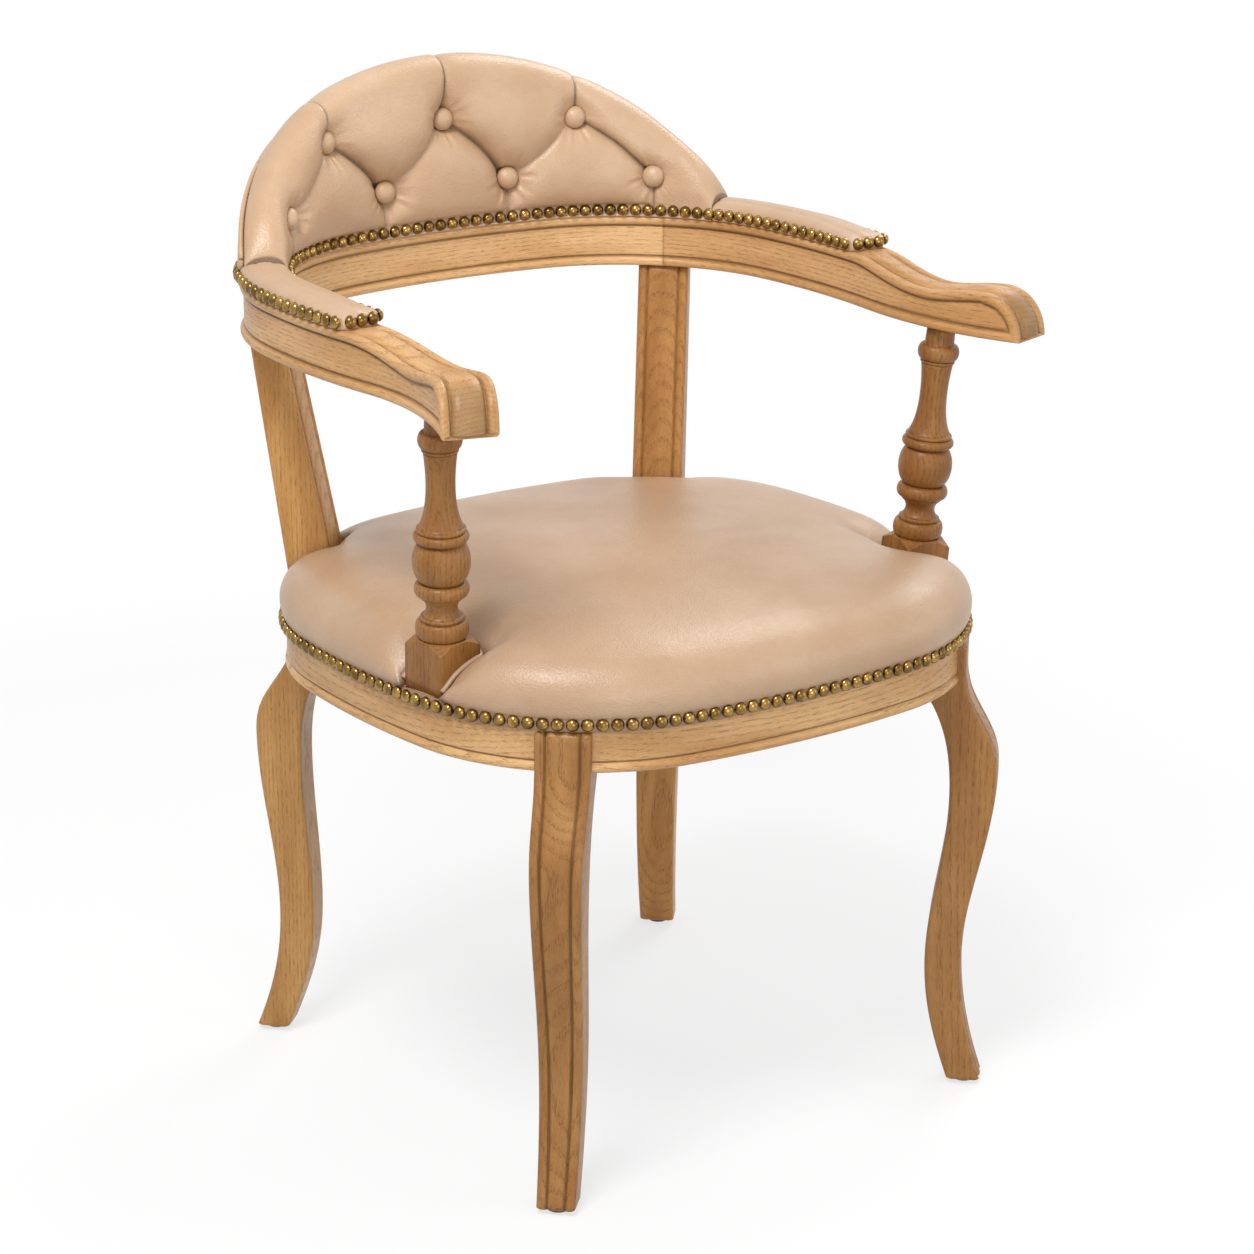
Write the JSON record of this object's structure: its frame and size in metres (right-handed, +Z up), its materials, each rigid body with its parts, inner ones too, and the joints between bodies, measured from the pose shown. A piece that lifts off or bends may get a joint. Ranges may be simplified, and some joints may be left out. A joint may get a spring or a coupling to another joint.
{
  "type": "restaurant armchair",
  "caption": "Tub-style oak restaurant armchair: S-curved legs, turned arm posts, bowed arm rail with rolled noses, nailed leather seat and arm pads, button-tufted half-moon back.",
  "frame": {"origin": "on the floor under the middle of the chair's bounding box", "axes": "+Z up, -Y the way the sitter faces, +X to the sitter's left"},
  "size_m": [0.5858, 0.5519, 0.82],
  "materials": {
    "oak": "satin lacquered oak, warm honey brown",
    "inner_wood": "bare sawn timber and plywood",
    "leather": "satin tan leather",
    "brass": "antique brass, slightly worn",
    "dust_cloth": "thin black cloth",
    "glide": "dark matte"
  },
  "bodies": {
    "root": {"front_leg_left": "oak", "front_leg_right": "oak", "rear_leg_left": "oak", "rear_leg_right": "oak", "seat_rail_front": "oak", "seat_rail_back": "oak", "seat_rail_left": "oak", "seat_rail_right": "oak", "arm_post_left": "oak", "arm_post_right": "oak", "arm_left": "oak", "arm_right": "oak", "back_bow": "oak", "corner_block_front_left": "inner_wood", "corner_block_front_right": "inner_wood", "corner_block_rear_left": "inner_wood", "corner_block_rear_right": "inner_wood", "seat_board": "inner_wood", "bow_tenons": "inner_wood", "back_uprights": "inner_wood", "seat_cushion": "leather", "back_cushion": "leather", "back_buttons": "leather", "outside_back": "leather", "arm_pad_left": "leather", "arm_pad_right": "leather", "dust_cover": "dust_cloth", "glides": "glide"}
  },
  "joints": []
}
